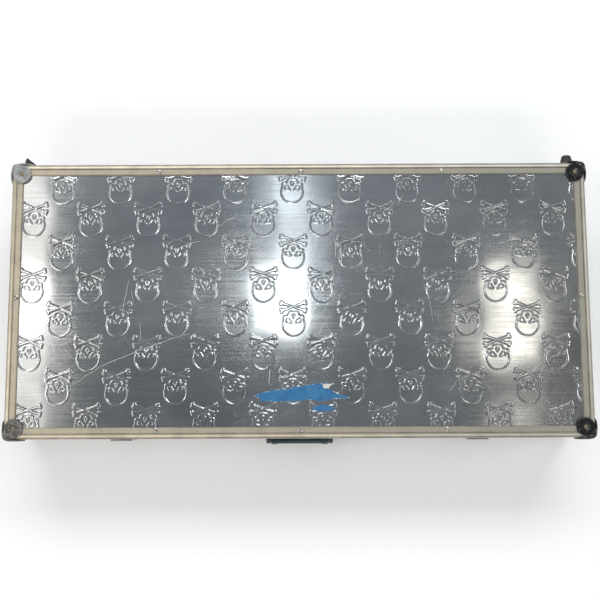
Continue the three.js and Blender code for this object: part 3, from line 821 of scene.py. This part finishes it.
def lining(name, node, body, height_of, upwards, spacing):
    low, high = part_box(node)
    pad = paint(slab(name, low, high, spacing * MM, height_of, upwards), "foam")
    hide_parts(node)
    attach(pad, body)


lining("base_pad", "base_foam", "base", scored_pad, True, 1.6)
lining("lid_egg_crate", "lid_foam", "lid", egg_crate, False, 2.0)

# ---------------------------------------------------------------- label remnant and scratches
# Outlines in millimetres from the middle of the lid, clockwise from the left tip.
LABEL = [
    (-54, -115.5), (-47, -112.8), (-39, -110.8), (-24, -108.6), (-9, -106.3), (8, -103.7),
    (22, -101.8), (31, -101.2), (42, -101.9), (37, -104.2), (34.5, -107), (38.5, -110.4),
    (45, -112.8), (52, -115.6), (61, -118.6), (50, -119.4), (42, -119.2), (33, -121.6),
    (26, -122.8), (18, -121.3), (10, -120.7), (-5, -121.6), (-21, -122.6), (-36, -122.4),
    (-49, -121.4), (-44, -119.0), (-50, -117.6),
]
SCRAP = [
    (13, -131.4), (18, -128.6), (24, -126.9), (30, -126.6), (37, -128.1), (43, -130.8),
    (38, -133), (30, -134.2), (21, -133.6),
]
TEAR = [(27, -102.9), (34, -101.9), (40.5, -102.6), (37, -104.3), (34, -107.4), (29, -106.2)]


def torn(outline, rough, seed):
    """The outline with points added between its own and pushed about, as if torn."""
    points = []
    for (x0, y0), (x1, y1) in zip(outline, outline[1:] + outline[:1]):
        steps = max(1, int(math.hypot(x1 - x0, y1 - y0) / 0.9))
        for k in range(steps):
            x = x0 + (x1 - x0) * k / steps
            y = y0 + (y1 - y0) * k / steps
            push = noise.noise(Vector((x * 0.35, y * 0.35, seed)))
            push += 0.6 * noise.noise(Vector((x * 1.3, y * 1.3, seed + 5)))
            points.append((x + rough * push * 0.6, y + rough * push))
    return points


def film(name, outline, lift, thickness, material):
    """A thin film on the pressed sheet, within an outline in millimetres."""
    count = len(outline)
    xs, ys = zip(*outline)
    inside = [
        Vector((x, y))
        for x in np.arange(min(xs), max(xs), 0.7)
        for y in np.arange(min(ys), max(ys), 0.7)
    ]
    edges = [(i, (i + 1) % count) for i in range(count)]
    flat, _, faces, *_ = delaunay_2d_cdt(
        [Vector(p) for p in outline] + inside, edges, [list(range(count))], 1, 0.02
    )
    used = sorted({i for face in faces for i in face})
    order = {old: new for new, old in enumerate(used)}
    vertices = []
    for i in used:
        x, y = flat[i]
        z = sheet_high.z + (relief_at(x, y) + lift) * MM
        vertices.append((CASE_MIDDLE.x + x * MM, CASE_MIDDLE.y + y * MM, z))
    obj = mesh_object(name, vertices, [tuple(order[i] for i in face) for face in faces])
    depth = obj.modifiers.new("thickness", "SOLIDIFY")
    depth.thickness = thickness * MM
    apply_modifiers(obj)
    paint(obj, material)
    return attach(obj, "lid")


film("label_paper", torn(LABEL, 1.5, 3.0), 0.12, 0.05, "paper")
film("label_remnant", torn(LABEL, 1.2, 1.0), 0.2, 0.05, "label")
film("label_scrap", torn(SCRAP, 1.2, 2.0), 0.16, 0.05, "label")
film("label_tear", torn(TEAR, 1.0, 4.0), 0.28, 0.05, "paper")

# Long scratches: points in millimetres from the middle of the lid, and their width.
SCRATCHES = [
    ([(-275, -106), (-252, -90), (-236, -80), (-190, -61), (-150, -47), (-130, -41)], 0.5),
    ([(-205, 24), (-209, 2), (-213, -20)], 0.55),
    ([(-202, 12), (-198, -8)], 0.3),
    ([(43, 74), (45, 62), (44, 48)], 0.4),
    ([(50, 69), (52, 44), (51, 38)], 0.4),
    ([(118, 120), (112, 112), (103, 106)], 0.35),
    ([(128, 128), (119, 112)], 0.3),
    ([(190, -94), (184, -104), (177, -112)], 0.35),
    ([(-190, -28), (-190, -50)], 0.35),
    ([(-35, -84), (-36, -104)], 0.7),
    ([(-148, 60), (-132, 68), (-118, 71)], 0.3),
    ([(240, 66), (262, 71), (270, 70)], 0.3),
    ([(-312, -22), (-298, -46), (-290, -70)], 0.3),
    ([(150, 20), (158, -6), (161, -30)], 0.3),
    ([(-96, 88), (-88, 96), (-76, 99)], 0.3),
]


def scratch_marks():
    """Bare bright lines that lie just over the pressed sheet, thinning out at both ends."""
    vertices, faces = [], []
    for points, width in SCRATCHES:
        path = []
        for (x0, y0), (x1, y1) in zip(points, points[1:]):
            steps = max(2, int(math.hypot(x1 - x0, y1 - y0) / 0.8))
            path += [(x0 + (x1 - x0) * k / steps, y0 + (y1 - y0) * k / steps) for k in range(steps)]
        path.append(points[-1])
        start = len(vertices)
        for k, (x, y) in enumerate(path):
            (xa, ya), (xb, yb) = path[max(k - 1, 0)], path[min(k + 1, len(path) - 1)]
            run = math.hypot(xb - xa, yb - ya)
            taper_to = math.sin(math.pi * (k + 0.5) / len(path)) ** 0.5
            half = 0.5 * width * taper_to * (0.7 + 0.5 * noise.noise(Vector((x, y, 3))))
            wander = 0.5 * noise.noise(Vector((x * 0.2, y * 0.2, width)))
            for side in (-1, 1):
                px = x + (side * half + wander) * (yb - ya) / run
                py = y - (side * half + wander) * (xb - xa) / run
                for lift in (0.03, -0.04):
                    z = sheet_high.z + (relief_at(px, py) + lift) * MM
                    vertices.append((CASE_MIDDLE.x + px * MM, CASE_MIDDLE.y + py * MM, z))
        # each station's corners, round the mark's section
        rings = [[start + 4 * k + corner for corner in (0, 2, 3, 1)] for k in range(len(path))]
        for here, there in zip(rings, rings[1:]):
            for i in range(4):
                j = (i + 1) % 4
                faces.append((here[i], here[j], there[j], there[i]))
        faces += [tuple(reversed(rings[0])), tuple(rings[-1])]
    obj = paint(mesh_object("lid_scratches", vertices, faces), "scratch")
    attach(obj, "lid")


scratch_marks()


# ---------------------------------------------------------------- floor, lights and camera
def floor():
    half = 40.0
    corners = [(-half, -half, 0), (half, -half, 0), (half, half, 0), (-half, half, 0)]
    obj = mesh_object("floor", corners, [(0, 1, 2, 3)])
    obj.data.materials.append(floor_paint())


def softbox(name, at, size, power, colour, aim=(0, 0, 0)):
    lamp = bpy.data.lights.new(name, "AREA")
    lamp.shape = "RECTANGLE"
    lamp.size, lamp.size_y = size
    lamp.energy = power
    lamp.color = colour
    obj = link(bpy.data.objects.new(name, lamp))
    obj.location = at
    obj.rotation_euler = (Vector(aim) - Vector(at)).to_track_quat("-Z", "Y").to_euler()


def ramp_of(tree, value, stops):
    """A colour ramp of (place, brightness or colour) stops."""
    ramp = tree.nodes.new("ShaderNodeValToRGB")
    elements = ramp.color_ramp.elements
    while len(elements) < len(stops):
        elements.new(0.5)
    for element, (place, colour) in zip(elements, stops):
        element.position = place
        element.color = (*colour, 1) if isinstance(colour, tuple) else (colour, colour, colour, 1)
    tree.links.new(value, ramp.inputs["Fac"])
    return ramp.outputs["Color"]


def mix_of(tree, first, second, blend="MIX", share=None):
    """Two colours mixed by a share that is a socket, or blended in full."""
    node = tree.nodes.new("ShaderNodeMix")
    node.data_type = "RGBA"
    node.blend_type = blend
    if share is None:
        node.inputs[0].default_value = 1
    else:
        tree.links.new(share, node.inputs[0])
    tree.links.new(first, node.inputs[6])
    tree.links.new(second, node.inputs[7])
    return node.outputs[2]


def across_of(tree, value, reach):
    """0 where value is -reach, and 1 where it is reach."""
    node = tree.nodes.new("ShaderNodeMapRange")
    node.inputs["From Min"].default_value = -reach
    node.inputs["From Max"].default_value = reach
    tree.links.new(value, node.inputs["Value"])
    return node.outputs["Result"]


def room():
    """A studio with bright walls and windows all round and a dimmer ceiling."""
    world = bpy.data.worlds.new("studio")
    world.use_nodes = True
    tree = world.node_tree
    direction = tree.nodes.new("ShaderNodeTexCoord").outputs["Generated"]
    split = tree.nodes.new("ShaderNodeSeparateXYZ")
    tree.links.new(direction, split.inputs[0])
    around = tree.nodes.new("ShaderNodeTexGradient")
    around.gradient_type = "RADIAL"
    tree.links.new(direction, around.inputs[0])
    walls = ramp_of(tree, around.outputs["Fac"], WALLS)
    height = ramp_of(tree, split.outputs["Z"], HEIGHTS)
    lit = mix_of(tree, height, walls, "MULTIPLY")
    sideways = ramp_of(tree, across_of(tree, split.outputs["X"], 0.4), CEILING)
    backwards = ramp_of(tree, across_of(tree, split.outputs["Y"], 0.25), TOWARDS_BACK)
    ceiling = mix_of(tree, sideways, backwards, "ADD")
    overhead = ramp_of(tree, split.outputs["Z"], OVERHEAD_FROM)
    background = tree.nodes["Background"]
    background.inputs["Strength"].default_value = ROOM_STRENGTH
    tree.links.new(mix_of(tree, lit, ceiling, share=overhead), background.inputs["Color"])
    bpy.context.scene.world = world


ROOM_STRENGTH = 1.0
WALLS = (
    (0.0, (0.95, 0.92, 0.86)), (0.1, 0.6), (0.28, 0.5), (0.36, (0.9, 0.96, 1.0)),
    (0.52, (0.9, 0.96, 1.0)), (0.6, 0.5), (0.8, 0.55), (0.93, (1.0, 0.97, 0.9)),
)
OVERHEAD_FROM = ((0.84, 0.0), (0.93, 1.0))
HEIGHTS = ((0.0, 0.7), (0.25, 0.66), (0.5, 0.5), (0.85, 0.36))
CEILING = ((0.0, (0.11, 0.115, 0.116)), (0.5, (0.066, 0.083, 0.102)), (1.0, (0.08, 0.08, 0.076)))
TOWARDS_BACK = ((0.0, (0.05, 0.045, 0.036)), (0.4, 0.0), (0.6, 0.0), (1.0, (0.06, 0.073, 0.085)))


CREAM = (1.0, 0.95, 0.84)
WARM = (1.0, 0.99, 0.97)
STRIP_HEIGHT = 2.1
# Small strips overhead, mirrored in the sheet: place, size, power and colour.
STRIPS = {
    "overhead_white": ((-0.078, 0.18), (0.15, 0.2), 0.6, (0.93, 0.98, 1.0)),
    "overhead_blue": ((-0.04, 0.5), (0.14, 0.34), 0.24, (0.86, 0.94, 1.0)),
    "left_white": ((-0.985, 0.17), (0.12, 0.2), 0.45, (1.0, 0.99, 0.96)),
    "left_tall": ((-0.98, 0.0), (0.2, 1.5), 1.2, (1.0, 0.97, 0.9)),
    "right_cream": ((0.7, 0.13), (0.1, 0.28), 0.26, CREAM),
    "right_low": ((0.72, -0.32), (0.08, 0.34), 0.12, CREAM),
}
# Large windows round about, which light the floor and the pressed lines.
WINDOWS = {
    "window_back": ((0.1, 2.3, 2.4), (3.6, 1.1), 84, (0.95, 0.98, 1.0)),
    "window_front": ((-0.1, -2.3, 2.4), (3.6, 1.1), 48, (1.0, 0.98, 0.95)),
    "window_left": ((-2.7, -0.3, 2.2), (1.1, 1.8), 20, WARM),
    "window_right": ((2.7, 0.4, 2.2), (1.1, 1.8), 18, WARM),
}


def lights():
    for name, ((x, y), size, power, colour) in STRIPS.items():
        softbox(name, (x, y, STRIP_HEIGHT), size, power, colour, (x, y, 0))
    for name, (at, size, power, colour) in WINDOWS.items():
        softbox(name, at, size, power, colour)


CAMERA_PLACE = (0.0032, -0.103, 1.0755)  # from the case's middle, and over the lid's rails
CAMERA_TURN = (7.27, 0.09, -0.25)  # degrees


def camera():
    """Over the case's front half and looking a little back, with a slight downward shift."""
    view = bpy.data.cameras.new("camera")
    view.sensor_width = 36
    view.lens = 54
    view.shift_y = -0.05
    view.clip_start = 0.05
    obj = link(bpy.data.objects.new("camera", view))
    x, y, over = CAMERA_PLACE
    obj.location = CASE_MIDDLE + Vector((x, y, lid_rail_top + over))
    obj.rotation_mode = "ZYX"
    obj.rotation_euler = [math.radians(a) for a in CAMERA_TURN]
    bpy.context.scene.camera = obj


floor()
room()
lights()
camera()
bpy.context.scene.view_settings.view_transform = "Standard"

bpy.context.view_layer.update()
